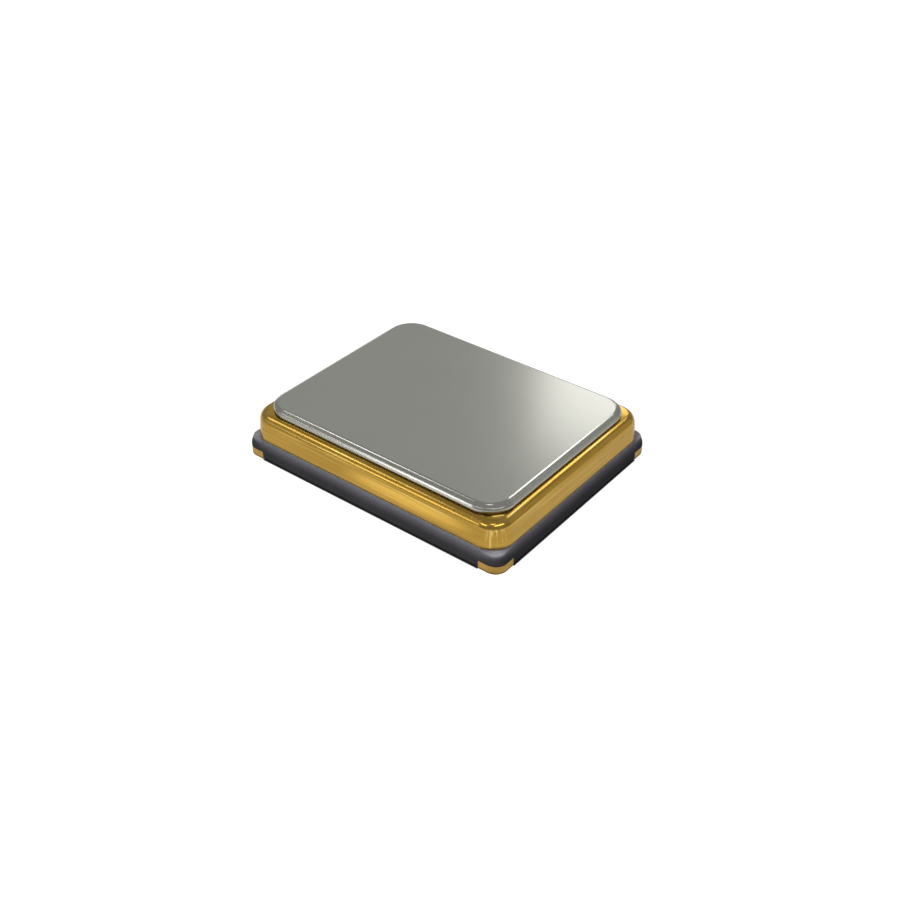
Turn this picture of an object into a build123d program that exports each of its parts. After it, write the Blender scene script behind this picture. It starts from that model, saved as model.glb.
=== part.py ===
from build123d import *

import math
import os

# Seam-sealed surface-mount crystal resonator, in millimetres.
# The package's length runs along X and its width along Y, the board side faces -Z, and the origin
# is at the centre of the terminals' undersides. Terminal 1 is at -X -Y, and the numbers run
# counter-clockwise as seen from above. Films and printed metal are drawn thicker than they are
# made, so that each is a solid of its own.

# Outer package
PACKAGE_LENGTH = 2.50
PACKAGE_WIDTH = 2.00
PACKAGE_CORNER_RADIUS = 0.100

# Ceramic base
BASE_HEIGHT = 0.148
FLOOR_THICKNESS = 0.080
BASE_BOTTOM_ROUND = 0.008
SHOULDER_DROP = 0.060
SHOULDER_INSET = 0.020
SHOULDER_LOWER_ROUND = 0.110
SHOULDER_UPPER_ROUND = 0.006
CAVITY_WALL_STEP = 0.020
CAVITY_CORNER_RADIUS = 0.060

# Terminals under the base and around its corners
TERMINAL_THICKNESS = 0.008
TERMINAL_LENGTH = 0.75
TERMINAL_WIDTH = 0.65
TERMINAL_EDGE_MARGIN = 0.030
TERMINAL_CORNER_RADIUS = 0.050
WRAP_REACH = 0.180
WRAP_HEIGHT = 0.070
INDEX_CHAMFER = 0.180

# Metal rim, braze and seal ring
RIM_METAL_THICKNESS = 0.008
RIM_METAL_MARGIN = 0.006
BRAZE_THICKNESS = 0.010
BRAZE_SETBACK = 0.004
RING_HEIGHT = 0.212
RING_INSET = 0.026
RING_WIDTH = 0.205
RING_CORNER_RADIUS = 0.190
RING_INNER_CORNER_RADIUS = 0.080
RING_DRAFT = 0.016
RING_SHOULDER_RADIUS = 0.078

# Lid
LID_THICKNESS = 0.064
LID_RING_MARGIN = 0.079
LID_CORNER_RADIUS = 0.220
LID_EDGE_RADIUS = 0.042
LID_LOWER_ROUND = 0.008

# Quartz blank
BLANK_THICKNESS = 0.075
BLANK_ANCHOR_CLEARANCE = 0.130
BLANK_FREE_CLEARANCE = 0.170
BLANK_SIDE_CLEARANCE = 0.150
BLANK_BEVEL_LENGTH = 0.120
BLANK_BEVEL_DEPTH = 0.018

# Electrodes on the blank
ELECTRODE_THICKNESS = 0.005
ELECTRODE_END_MARGIN = 0.330
ELECTRODE_SIDE_MARGIN = 0.200
ELECTRODE_CORNER_RADIUS = 0.060
TAB_MARGIN = 0.020

# Adhesive dots, inner pads and the rest under the blank's free end
ADHESIVE_HEIGHT = 0.030
ADHESIVE_RADIUS = 0.095
ADHESIVE_SPREAD = 0.020
ADHESIVE_SIDE_OFFSET = 0.190
PAD_THICKNESS = 0.015
PAD_MARGIN = 0.070
PAD_CORNER_RADIUS = 0.040
TRACE_WIDTH = 0.090
TRACE_WALL_GAP = 0.035
PILLOW_LENGTH = 0.140
PILLOW_END_OFFSET = 0.080
PILLOW_SIDE_MARGIN = 0.190
PILLOW_GAP = 0.016

# Filled holes
VIA_RADIUS = 0.040
VIA_LANDING_MARGIN = 0.035

# How far from a level an edge may lie and still count as being at it
LEVEL_SLACK = 0.0001

# Levels, from the terminals' undersides up
BASE_BOTTOM = TERMINAL_THICKNESS
BASE_TOP = BASE_BOTTOM + BASE_HEIGHT
FLOOR_LEVEL = BASE_BOTTOM + FLOOR_THICKNESS
BRAZE_BOTTOM = BASE_TOP + RIM_METAL_THICKNESS
RING_BOTTOM = BRAZE_BOTTOM + BRAZE_THICKNESS
LID_BOTTOM = RING_BOTTOM + RING_HEIGHT
PAD_TOP = FLOOR_LEVEL + PAD_THICKNESS
FOOT_BOTTOM = PAD_TOP + ADHESIVE_HEIGHT
BLANK_BOTTOM = FOOT_BOTTOM + ELECTRODE_THICKNESS
BLANK_MIDDLE = BLANK_BOTTOM + BLANK_THICKNESS / 2

# Insets from the package's outline
RING_INNER_INSET = RING_INSET + RING_WIDTH
CAVITY_INSET = RING_INNER_INSET + CAVITY_WALL_STEP
LID_INSET = RING_INSET + LID_RING_MARGIN

# Blank's place in the cavity
CAVITY_END = PACKAGE_LENGTH / 2 - CAVITY_INSET
CAVITY_SIDE = PACKAGE_WIDTH / 2 - CAVITY_INSET
BLANK_ANCHOR_END = -CAVITY_END + BLANK_ANCHOR_CLEARANCE
BLANK_FREE_END = CAVITY_END - BLANK_FREE_CLEARANCE
BLANK_LENGTH = BLANK_FREE_END - BLANK_ANCHOR_END
BLANK_SIDE = CAVITY_SIDE - BLANK_SIDE_CLEARANCE
BLANK_CENTRE = (BLANK_ANCHOR_END + BLANK_FREE_END) / 2

# Adhesive dots stand under the blank's two anchored corners, and the tabs and pads follow them
TAB_WIDTH = 2 * (ADHESIVE_RADIUS + TAB_MARGIN)
ADHESIVE_X = BLANK_ANCHOR_END + TAB_WIDTH / 2
ADHESIVE_Y = BLANK_SIDE - ADHESIVE_SIDE_OFFSET
PAD_SIZE = 2 * (ADHESIVE_RADIUS + PAD_MARGIN)

# Filled holes: the output's stands in the far corner of the cavity floor, the ground's in the wall
LANDING_SIZE = 2 * (VIA_RADIUS + VIA_LANDING_MARGIN)
OUTPUT_VIA_X = CAVITY_END - TRACE_WALL_GAP - LANDING_SIZE / 2
OUTPUT_VIA_Y = CAVITY_SIDE - TRACE_WALL_GAP - LANDING_SIZE / 2
GROUND_VIA_X = PACKAGE_LENGTH / 2 - RING_INSET - RING_WIDTH / 2
GROUND_VIA_Y = PACKAGE_WIDTH / 2 - RING_INSET - RING_WIDTH / 2

# Corner of each terminal, as the signs of its X and Y
TERMINAL_CORNERS = {1: (-1, -1), 2: (1, -1), 3: (1, 1), 4: (-1, 1)}
INDEX_TERMINAL = 1


def prism(sketch, bottom, height, taper=0.0):
    """A sketch raised from a level by a height, drawn in by a taper in degrees."""
    return Pos(0, 0, bottom) * extrude(sketch, amount=height, taper=taper)


def plan(inset, radius):
    """The package's rounded outline, moved in by an inset, with corners of the given radius."""
    return RectangleRounded(PACKAGE_LENGTH - 2 * inset, PACKAGE_WIDTH - 2 * inset, radius)


def frame(outer_inset, outer_radius, inner_inset, inner_radius, bottom, height):
    """A flat frame between two insets of the package's outline."""
    return prism(plan(outer_inset, outer_radius) - plan(inner_inset, inner_radius), bottom, height)


def edges_at(shape, level):
    """The edges of a shape that lie wholly at one level, within a hair's breadth."""
    return shape.edges().filter_by_position(Axis.Z, level - LEVEL_SLACK, level + LEVEL_SLACK)


def corner_boxes(bottom, height):
    """Four boxes over the package's corners, as far along each side as the terminals wrap."""
    boxes = Sketch()
    for side_x, side_y in TERMINAL_CORNERS.values():
        corner = Pos(side_x * PACKAGE_LENGTH / 2, side_y * PACKAGE_WIDTH / 2)
        boxes += corner * Rectangle(2 * WRAP_REACH, 2 * WRAP_REACH)
    return prism(boxes, bottom, height)


def base_block():
    """The ceramic's outer form: upright sides, a rounded shoulder, and pockets for the wraps."""
    waist = BASE_TOP - SHOULDER_DROP
    lower = prism(plan(0, PACKAGE_CORNER_RADIUS), BASE_BOTTOM, waist - BASE_BOTTOM)
    slope = math.degrees(math.atan(SHOULDER_INSET / SHOULDER_DROP))
    upper = prism(plan(0, PACKAGE_CORNER_RADIUS), waist, SHOULDER_DROP, taper=slope)
    block = lower + upper
    block = fillet(edges_at(block, waist), SHOULDER_LOWER_ROUND)
    block = fillet(edges_at(block, BASE_TOP), SHOULDER_UPPER_ROUND)
    block = fillet(edges_at(block, BASE_BOTTOM), BASE_BOTTOM_ROUND)
    skin = frame(
        0,
        PACKAGE_CORNER_RADIUS,
        TERMINAL_THICKNESS,
        PACKAGE_CORNER_RADIUS - TERMINAL_THICKNESS,
        BASE_BOTTOM,
        WRAP_HEIGHT - BASE_BOTTOM,
    )
    return block - (skin & corner_boxes(BASE_BOTTOM, WRAP_HEIGHT - BASE_BOTTOM))


def via(x, y, top):
    """A filled hole from the ceramic's underside up to a level."""
    return Pos(x, y) * prism(Circle(VIA_RADIUS), BASE_BOTTOM, top - BASE_BOTTOM)


def ceramic_base(block, vias):
    """The fired tray: its outer form less the cavity and the holes for the vias."""
    cavity = prism(plan(CAVITY_INSET, CAVITY_CORNER_RADIUS), FLOOR_LEVEL, BASE_TOP - FLOOR_LEVEL)
    tray = block - cavity
    for hole in vias.values():
        tray -= hole
    return tray


def terminal(number, block):
    """An underside pad joined to the metal that wraps up its corner of the ceramic."""
    side_x, side_y = TERMINAL_CORNERS[number]
    pad_x = PACKAGE_LENGTH / 2 - TERMINAL_EDGE_MARGIN - TERMINAL_LENGTH / 2
    pad_y = PACKAGE_WIDTH / 2 - TERMINAL_EDGE_MARGIN - TERMINAL_WIDTH / 2
    outline = Pos(side_x * pad_x, side_y * pad_y) * Rectangle(TERMINAL_LENGTH, TERMINAL_WIDTH)
    if number == INDEX_TERMINAL:
        innermost = outline.vertices().sort_by(lambda vertex: abs(vertex.X) + abs(vertex.Y))[0]
        outline = chamfer(innermost, INDEX_CHAMFER)
    pad = prism(fillet(outline.vertices(), TERMINAL_CORNER_RADIUS), 0, TERMINAL_THICKNESS)
    quarter = Pos(side_x * PACKAGE_LENGTH / 2, side_y * PACKAGE_WIDTH / 2) * Rectangle(
        2 * WRAP_REACH, 2 * WRAP_REACH
    )
    corner = prism(plan(0, PACKAGE_CORNER_RADIUS) & quarter, 0, WRAP_HEIGHT)
    return pad + (corner - block)


def rim_metallisation():
    """The printed metal on top of the ceramic wall."""
    return frame(
        RING_INSET,
        RING_CORNER_RADIUS,
        CAVITY_INSET - RIM_METAL_MARGIN,
        CAVITY_CORNER_RADIUS + RIM_METAL_MARGIN,
        BASE_TOP,
        RIM_METAL_THICKNESS,
    )


def ring_braze():
    """The braze between the metal rim and the seal ring, set back a little all round."""
    return frame(
        RING_INSET + BRAZE_SETBACK,
        RING_CORNER_RADIUS - BRAZE_SETBACK,
        RING_INNER_INSET,
        RING_INNER_CORNER_RADIUS,
        BRAZE_BOTTOM,
        BRAZE_THICKNESS,
    )


def seal_ring():
    """The plated ring: sides drawn in a little as they rise, a full shoulder, a flat seat."""
    draft = math.degrees(math.atan(RING_DRAFT / RING_HEIGHT))
    body = prism(plan(RING_INSET, RING_CORNER_RADIUS), RING_BOTTOM, RING_HEIGHT, taper=draft)
    body = fillet(edges_at(body, LID_BOTTOM), RING_SHOULDER_RADIUS)
    window = plan(RING_INNER_INSET, RING_INNER_CORNER_RADIUS)
    return body - prism(window, RING_BOTTOM, RING_HEIGHT)


def lid():
    """The flat plate that closes the ring, with its upper edge rolled over by the seam weld."""
    plate = prism(plan(LID_INSET, LID_CORNER_RADIUS), LID_BOTTOM, LID_THICKNESS)
    plate = fillet(edges_at(plate, LID_BOTTOM), LID_LOWER_ROUND)
    return fillet(edges_at(plate, LID_BOTTOM + LID_THICKNESS), LID_EDGE_RADIUS)


def bevelled_plate(growth, half_width):
    """The blank's form, thin at both ends, grown by a film's thickness over ends and faces."""
    end = BLANK_LENGTH / 2 + growth
    shoulder = BLANK_LENGTH / 2 - BLANK_BEVEL_LENGTH
    face = BLANK_THICKNESS / 2 + growth
    tip = face - BLANK_BEVEL_DEPTH
    quarter = [(end, tip), (shoulder, face)]
    outline = quarter + [(-x, z) for x, z in reversed(quarter)]
    outline += [(-x, -z) for x, z in outline]
    section = make_face(Polyline(*outline, close=True))
    plate = extrude(Plane.XZ * section, amount=half_width, both=True)
    return Pos(BLANK_CENTRE, 0, BLANK_MIDDLE) * plate


def crystal_blank():
    """The quartz plate, with its ends bevelled on both faces."""
    return bevelled_plate(0, BLANK_SIDE)


def strip(start, end, y, width):
    """A rectangle in plan between two places along X."""
    return Pos((start + end) / 2, y) * Rectangle(end - start, width)


def electrode_field():
    """The electrode's rounded field in the middle of the blank."""
    length = BLANK_LENGTH - 2 * ELECTRODE_END_MARGIN
    width = 2 * (BLANK_SIDE - ELECTRODE_SIDE_MARGIN)
    return Pos(BLANK_CENTRE) * RectangleRounded(length, width, ELECTRODE_CORNER_RADIUS)


def film(sketch, bottom, top, blank):
    """The film that a plan leaves on the blank's faces and end between two levels."""
    grown = bevelled_plate(ELECTRODE_THICKNESS, BLANK_SIDE)
    return (grown & prism(sketch, bottom, top - bottom)) - blank


def upper_electrode(blank):
    """The upper field, its tab, and the strip that folds round the blank's end to a foot."""
    field_start = BLANK_ANCHOR_END + ELECTRODE_END_MARGIN + ELECTRODE_CORNER_RADIUS
    wrap_start = BLANK_ANCHOR_END - ELECTRODE_THICKNESS
    tab = strip(wrap_start, field_start, ADHESIVE_Y, TAB_WIDTH)
    foot = strip(wrap_start, BLANK_ANCHOR_END + TAB_WIDTH, ADHESIVE_Y, TAB_WIDTH)
    top = BLANK_BOTTOM + BLANK_THICKNESS + ELECTRODE_THICKNESS
    above = film(electrode_field() + tab, BLANK_MIDDLE, top, blank)
    below = film(foot, FOOT_BOTTOM, BLANK_MIDDLE, blank)
    return above + below


def lower_electrode(blank):
    """The lower field and its tab, which is its own foot."""
    field_start = BLANK_ANCHOR_END + ELECTRODE_END_MARGIN + ELECTRODE_CORNER_RADIUS
    tab = strip(BLANK_ANCHOR_END, field_start, -ADHESIVE_Y, TAB_WIDTH)
    return film(electrode_field() + tab, FOOT_BOTTOM, BLANK_MIDDLE, blank)


def adhesive(side):
    """A dot that spreads on its inner pad and fills up to the underside of the blank's foot."""
    height = ADHESIVE_HEIGHT + BLANK_BEVEL_DEPTH
    spread = ADHESIVE_RADIUS + ADHESIVE_SPREAD
    centre = Pos(ADHESIVE_X, side * ADHESIVE_Y, PAD_TOP + height / 2)
    dot = centre * Cone(spread, ADHESIVE_RADIUS, height)
    return dot - bevelled_plate(ELECTRODE_THICKNESS, BLANK_SIDE)


def inner_pad(side):
    """The printed pad under one adhesive dot, in plan."""
    return Pos(ADHESIVE_X, side * ADHESIVE_Y) * RectangleRounded(
        PAD_SIZE, PAD_SIZE, PAD_CORNER_RADIUS
    )


def input_pad():
    """The pad above terminal 1, joined to it by the via beneath."""
    return prism(inner_pad(-1), FLOOR_LEVEL, PAD_THICKNESS)


def output_pad():
    """The other pad, with the trace that carries it along the wall to the far corner."""
    trace_y = CAVITY_SIDE - TRACE_WALL_GAP - TRACE_WIDTH / 2
    half = TRACE_WIDTH / 2
    neck = Pos(ADHESIVE_X, (ADHESIVE_Y + trace_y) / 2) * Rectangle(
        TRACE_WIDTH, trace_y - ADHESIVE_Y + TRACE_WIDTH
    )
    run = strip(ADHESIVE_X - half, OUTPUT_VIA_X, trace_y, TRACE_WIDTH)
    landing = Pos(OUTPUT_VIA_X, OUTPUT_VIA_Y) * Rectangle(LANDING_SIZE, LANDING_SIZE)
    return prism(inner_pad(1) + neck + run + landing, FLOOR_LEVEL, PAD_THICKNESS)


def blank_pillow():
    """The low rest that stops the blank's free end from touching the floor."""
    end = BLANK_FREE_END - PILLOW_END_OFFSET
    width = 2 * (BLANK_SIDE - PILLOW_SIDE_MARGIN)
    height = BLANK_BOTTOM - PILLOW_GAP - FLOOR_LEVEL
    return prism(strip(end - PILLOW_LENGTH, end, 0, width), FLOOR_LEVEL, height)


def build():
    """All pieces of the resonator, by name."""
    block = base_block()
    blank = crystal_blank()
    vias = {
        "via_input": via(ADHESIVE_X, -ADHESIVE_Y, FLOOR_LEVEL),
        "via_output": via(OUTPUT_VIA_X, OUTPUT_VIA_Y, FLOOR_LEVEL),
        "via_ground_2": via(GROUND_VIA_X, -GROUND_VIA_Y, BASE_TOP),
        "via_ground_4": via(-GROUND_VIA_X, GROUND_VIA_Y, BASE_TOP),
    }
    pieces = {
        "ceramic_base": ceramic_base(block, vias),
        "rim_metallisation": rim_metallisation(),
        "ring_braze": ring_braze(),
        "seal_ring": seal_ring(),
        "lid": lid(),
        "input_pad": input_pad(),
        "output_pad": output_pad(),
        "blank_pillow": blank_pillow(),
        "adhesive_input": adhesive(-1),
        "adhesive_output": adhesive(1),
        "crystal_blank": blank,
        "upper_electrode": upper_electrode(blank),
        "lower_electrode": lower_electrode(blank),
    }
    pieces.update(vias)
    for number in TERMINAL_CORNERS:
        pieces[f"terminal_{number}"] = terminal(number, block)
    return pieces


os.makedirs("parts", exist_ok=True)
for name, piece in build().items():
    export_step(piece, f"parts/{name}.step")
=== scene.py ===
"""Looks, studio and camera for a seam-sealed surface-mount crystal resonator."""

import logging
import math
from dataclasses import dataclass, replace
from enum import Enum
from functools import cache
from typing import Any, Callable, NamedTuple, Optional, Sequence, Union

import bmesh
import bpy
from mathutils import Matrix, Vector


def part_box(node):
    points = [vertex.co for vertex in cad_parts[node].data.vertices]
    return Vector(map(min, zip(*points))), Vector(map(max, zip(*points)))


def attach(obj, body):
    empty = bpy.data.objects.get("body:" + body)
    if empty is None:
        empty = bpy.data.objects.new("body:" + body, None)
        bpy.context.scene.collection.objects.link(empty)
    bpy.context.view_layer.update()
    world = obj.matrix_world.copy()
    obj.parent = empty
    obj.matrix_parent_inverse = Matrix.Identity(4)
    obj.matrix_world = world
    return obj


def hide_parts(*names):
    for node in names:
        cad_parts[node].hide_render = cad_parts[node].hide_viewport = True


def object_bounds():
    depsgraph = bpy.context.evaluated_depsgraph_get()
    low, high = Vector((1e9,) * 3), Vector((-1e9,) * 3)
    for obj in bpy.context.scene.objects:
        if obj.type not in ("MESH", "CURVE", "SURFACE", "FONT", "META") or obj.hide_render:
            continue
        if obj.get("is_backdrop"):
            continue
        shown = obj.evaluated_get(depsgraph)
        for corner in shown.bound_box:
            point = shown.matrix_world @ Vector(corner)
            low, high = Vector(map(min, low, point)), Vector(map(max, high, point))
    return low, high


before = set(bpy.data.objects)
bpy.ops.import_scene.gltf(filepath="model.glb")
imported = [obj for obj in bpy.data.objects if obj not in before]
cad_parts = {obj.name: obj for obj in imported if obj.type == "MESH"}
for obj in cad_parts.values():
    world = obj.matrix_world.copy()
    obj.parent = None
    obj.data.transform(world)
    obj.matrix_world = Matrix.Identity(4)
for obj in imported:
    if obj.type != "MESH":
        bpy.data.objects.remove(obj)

LOG = logging.getLogger("resonator")
MM = 0.001
UM = 1e-6
Pair = tuple[float, float]
Triple = tuple[float, float, float]
Number = Union[float, "Wire"]
Sockets = Optional[dict[Union[str, int], Any]]
Fixed = tuple[tuple[str, float], ...]
BLACK: Triple = (0.0, 0.0, 0.0)
WHITE: Triple = (1.0, 1.0, 1.0)


# Node graphs


def operators(operation: str) -> tuple[Callable[..., "Wire"], Callable[..., "Wire"]]:
    """A Math node's operation as a Python operator.

    Args:
        operation: The Math node's operation.

    Returns:
        The operator and its reflected form, so that 1 - wire works as wire - 1 does, and wire > 1
        as wire < 1 does.
    """

    def plain(self: "Wire", other: Number) -> "Wire":
        """The wire first."""
        return self.graph.maths(operation, self, other)

    def reflected(self: "Wire", other: Number) -> "Wire":
        """The other value first."""
        return self.graph.maths(operation, other, self)

    return plain, reflected


class Wire:
    """A node's output that takes part in Python arithmetic, adding Math nodes as it goes."""

    def __init__(self, graph: "Graph", socket: bpy.types.NodeSocket) -> None:
        """Wraps one output socket of a graph."""
        self.graph = graph
        self.socket = socket

    def maths(self, operation: str, *others: Number) -> "Wire":
        """The result of a Math node that takes this wire first."""
        return self.graph.maths(operation, self, *others)

    def vector(self, operation: str, *others: Any) -> "Wire":
        """The result of a Vector Math node that takes this wire first."""
        operands = dict(enumerate((self, *others)))
        return self.graph.wire("ShaderNodeVectorMath", operands, operation=operation)

    def length(self) -> "Wire":
        """How long this vector is."""
        return self.graph.wire("ShaderNodeVectorMath", {0: self}, "Value", operation="LENGTH")

    __add__, __radd__ = operators("ADD")
    __sub__, __rsub__ = operators("SUBTRACT")
    __mul__, __rmul__ = operators("MULTIPLY")
    __truediv__, __rtruediv__ = operators("DIVIDE")
    # 1 where the comparison holds, and 0 elsewhere.
    __lt__, __gt__ = operators("LESS_THAN")


class Graph:
    """Adds nodes to a shader or geometry node tree."""

    def __init__(self, tree: bpy.types.NodeTree) -> None:
        """Starts on an existing tree."""
        self.tree = tree

    def add(self, kind: str, sockets: Sockets = None, **settings: Any) -> bpy.types.Node:
        """Adds a node, sets it up, then fills or links its sockets.

        Args:
            kind: The node's type.
            sockets: Values or wires by the socket's name or index.
            settings: The node's own properties.

        Returns:
            The new node.
        """
        node = self.tree.nodes.new(kind)
        for name, value in settings.items():
            setattr(node, name, value)
        self.fill(node, sockets)
        return node

    def fill(self, node: bpy.types.Node, sockets: Sockets) -> None:
        """Gives a node's sockets values, or links wires to them.

        Args:
            node: The node.
            sockets: Values or wires by the socket's name or index.
        """
        for name, value in (sockets or {}).items():
            if isinstance(value, Wire):
                self.tree.links.new(value.socket, node.inputs[name])
            else:
                node.inputs[name].default_value = value

    def wire(self, kind: str, sockets: Sockets = None, output: Any = 0, **settings: Any) -> Wire:
        """One output, by name or index, of a node that is added as add() does."""
        return Wire(self, self.add(kind, sockets, **settings).outputs[output])

    def maths(self, operation: str, *operands: Number) -> Wire:
        """The result of a Math node on wires or numbers."""
        return self.wire("ShaderNodeMath", dict(enumerate(operands)), operation=operation)

    def mix(self, factor: Number, low: Any, high: Any) -> Wire:
        """A mix of two colours, each a wire or three numbers, by how much of the second is used."""
        # The colours' sockets share their names with others, so they go by index.
        low, high = (c if isinstance(c, Wire) else (*c, 1.0) for c in (low, high))
        return self.wire("ShaderNodeMix", {0: factor, 6: low, 7: high}, 2, data_type="RGBA")

    def place(self) -> Wire:
        """The object coordinates, in metres."""
        return self.wire("ShaderNodeTexCoord", output="Object")

    def axis(self, name: str) -> Wire:
        """The object coordinate along X, Y or Z."""
        return self.wire("ShaderNodeSeparateXYZ", {0: self.place()}, name)

    def remap(self, value: Wire, source: Pair, target: Pair = (0.0, 1.0)) -> Wire:
        """One range mapped on to another and held within it."""
        return self.wire("ShaderNodeMapRange", dict(enumerate((value, *source, *target))))

    def at_corner(self, start: Pair, soft: float) -> Wire:
        """Finds the corners of a rectangular piece.

        Args:
            start: Where they begin, out along X and Y.
            soft: How far out from there they fade in.

        Returns:
            1 at the corners and 0 elsewhere.
        """
        along = [self.axis(name).maths("ABSOLUTE") for name in "XY"]
        ends = [self.remap(far, (begin, begin + soft)) for far, begin in zip(along, start)]
        return ends[0] * ends[1]


# Finishes


class Grain(Enum):
    """How a fine texture runs: its frequency along each axis against its size."""

    EVEN = (1.0, 1.0, 1.0)
    UPRIGHT = (1.0, 1.0, 0.12)
    LEVEL = (0.02, 0.02, 1.0)


@dataclass(frozen=True)
class Finish:
    """Two tones and a range of roughness, laid by slow clouds and a fine grain.

    The clouds' share of the tone and of the roughness is given, and the grain has the rest. What
    is the same all over the surface is fixed on the shader's own sockets.
    """

    name: str
    colour: Triple
    deep: Triple
    roughness: Pair = (0.25, 0.35)
    cloud_size: float = 0.30 * MM
    cloud_range: Pair = (0.30, 0.70)
    cloud_detail: float = 3.0
    grain_size: float = 0.012 * MM
    grain_range: Pair = (0.30, 0.70)
    grain_detail: float = 2.0
    grain_height: float = 0.10 * UM
    tone_clouds: float = 0.65
    rough_clouds: float = 0.50
    fixed: Fixed = (("Metallic", 1.0),)

    def pattern(self, graph: Graph, size: float, grain: Grain = Grain.EVEN) -> Wire:
        """Object coordinates counted in a pattern's sizes, along its grain."""
        scale = tuple(frequency / size for frequency in grain.value)
        return graph.wire("ShaderNodeMapping", {"Vector": graph.place(), "Scale": scale})

    def noise(self, graph: Graph, size: float, detail: float, grain: Grain = Grain.EVEN) -> Wire:
        """A noise from 0 to 1, of a size in metres, with so many finer layers."""
        sockets = {"Vector": self.pattern(graph, size, grain), "Scale": 1.0, "Detail": detail}
        return graph.wire("ShaderNodeTexNoise", sockets)

    def base(self, graph: Graph) -> tuple[Wire, Wire, Wire, Wire]:
        """Lays the clouds and the grain over the piece.

        Args:
            graph: The material's graph.

        Returns:
            The colour, the roughness, the clouds spread over 0 to 1, and the grain as it comes.
        """
        clouds = self.noise(graph, self.cloud_size, self.cloud_detail)
        clouds = graph.remap(clouds, self.cloud_range)
        grain = self.noise(graph, self.grain_size, self.grain_detail)
        fine = graph.remap(grain, self.grain_range)
        tone = self.tone_clouds * clouds + (1.0 - self.tone_clouds) * fine
        rough = self.rough_clouds * clouds + (1.0 - self.rough_clouds) * fine
        low, high = self.roughness
        colour = graph.mix(tone, self.deep, self.colour)
        return colour, low + (high - low) * rough, clouds, grain

    def bump(self, graph: Graph, height: Wire, distance: float) -> Wire:
        """A normal that leans with a height, where 1 stands for a distance in metres."""
        sockets = {"Strength": 1.0, "Distance": distance, "Height": height}
        return graph.wire("ShaderNodeBump", sockets)

    def surface(self, graph: Graph) -> dict[str, Wire]:
        """What varies over the surface, by the shader's socket.

        Args:
            graph: The material's graph.

        Returns:
            Wires for the base colour, roughness and normal.
        """
        colour, rough, _, grain = self.base(graph)
        normal = self.bump(graph, grain, self.grain_height)
        return {"Base Color": colour, "Roughness": rough, "Normal": normal}

    @cache
    def material(self) -> bpy.types.Material:
        """The finish as a material, made once.

        Returns:
            The material.
        """
        material = bpy.data.materials.new(self.name)
        material.use_nodes = True
        material.diffuse_color = (*self.colour, 1.0)
        graph = Graph(material.node_tree)
        shader = material.node_tree.nodes["Principled BSDF"]
        graph.fill(shader, {**dict(self.fixed), **self.surface(graph)})
        return material


@dataclass(frozen=True)
class FiredCeramic(Finish):
    """Dark fired alumina with fine pores, and a painted sheen that makes it lighter and bluer
    towards its smooth upper edge.

    The painted sheen rises as a power of the level, which is steeper at the corners, where it is a
    brighter painted highlight. Towards the bottom the colour darkens as a painted shade.
    """

    cloud_range: Pair = (0.32, 0.68)
    cloud_detail: float = 4.0
    grain_detail: float = 3.0
    tone_clouds: float = 0.45
    rough_clouds: float = 0.45
    fixed: Fixed = (("Metallic", 0.0), ("IOR", 1.55), ("Specular IOR Level", 0.008))
    pore_size: float = 0.022 * MM
    pore_range: Pair = (0.10, 0.26)
    pore_tone: Triple = (0.006, 0.006, 0.007)
    pore_cover: float = 0.40
    pore_roughness: float = 0.10
    pore_depth: float = 0.8
    # Painted sheen: the lighter, bluer tone of the top, brighter at the corners as a painted
    # highlight; it rises over the levels of fade.
    painted_sheen: Triple = (0.125, 0.121, 0.139)
    corner_sheen: Triple = (0.28, 0.275, 0.31)
    steepness: Pair = (2.5, 8.0)
    fade: Pair = (0.055 * MM, 0.156 * MM)
    fade_waver: float = 0.008 * MM
    # Painted shade: the colour darkens to this towards the bottom, between these levels.
    foot: Triple = (0.008, 0.008, 0.009)
    foot_to: Pair = (0.012 * MM, 0.026 * MM)
    corner: Pair = (1.08 * MM, 0.83 * MM)
    corner_soft: float = 0.10 * MM

    def surface(self, graph: Graph) -> dict[str, Wire]:
        """What varies over the surface, by the shader's socket.

        Args:
            graph: The material's graph.

        Returns:
            Wires for the base colour, roughness and normal.
        """
        tone, rough, clouds, grain = self.base(graph)
        sockets = {"Vector": self.pattern(graph, self.pore_size), "Scale": 1.0}
        cells = graph.wire("ShaderNodeTexVoronoi", sockets)
        pores = graph.remap(cells, self.pore_range, (1.0, 0.0))
        corner = graph.at_corner(self.corner, self.corner_soft)
        # Painted sheen, brighter at the corners as a painted highlight.
        painted_sheen = graph.mix(corner, self.painted_sheen, self.corner_sheen)
        level = graph.axis("Z")
        # Painted shade: darker towards the bottom.
        tone = graph.mix(graph.remap(level, self.foot_to), self.foot, tone)
        # The painted sheen rises with the level, steeper at the corners.
        rise = graph.remap(level + (clouds - 0.5) * self.fade_waver, self.fade)
        side, turn = self.steepness
        tone = graph.mix(rise.maths("POWER", side + (turn - side) * corner), tone, painted_sheen)
        return {
            "Base Color": graph.mix(self.pore_cover * pores, tone, self.pore_tone),
            "Roughness": rough + self.pore_roughness * pores,
            "Normal": self.bump(graph, grain - self.pore_depth * pores, self.grain_height),
        }


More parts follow.
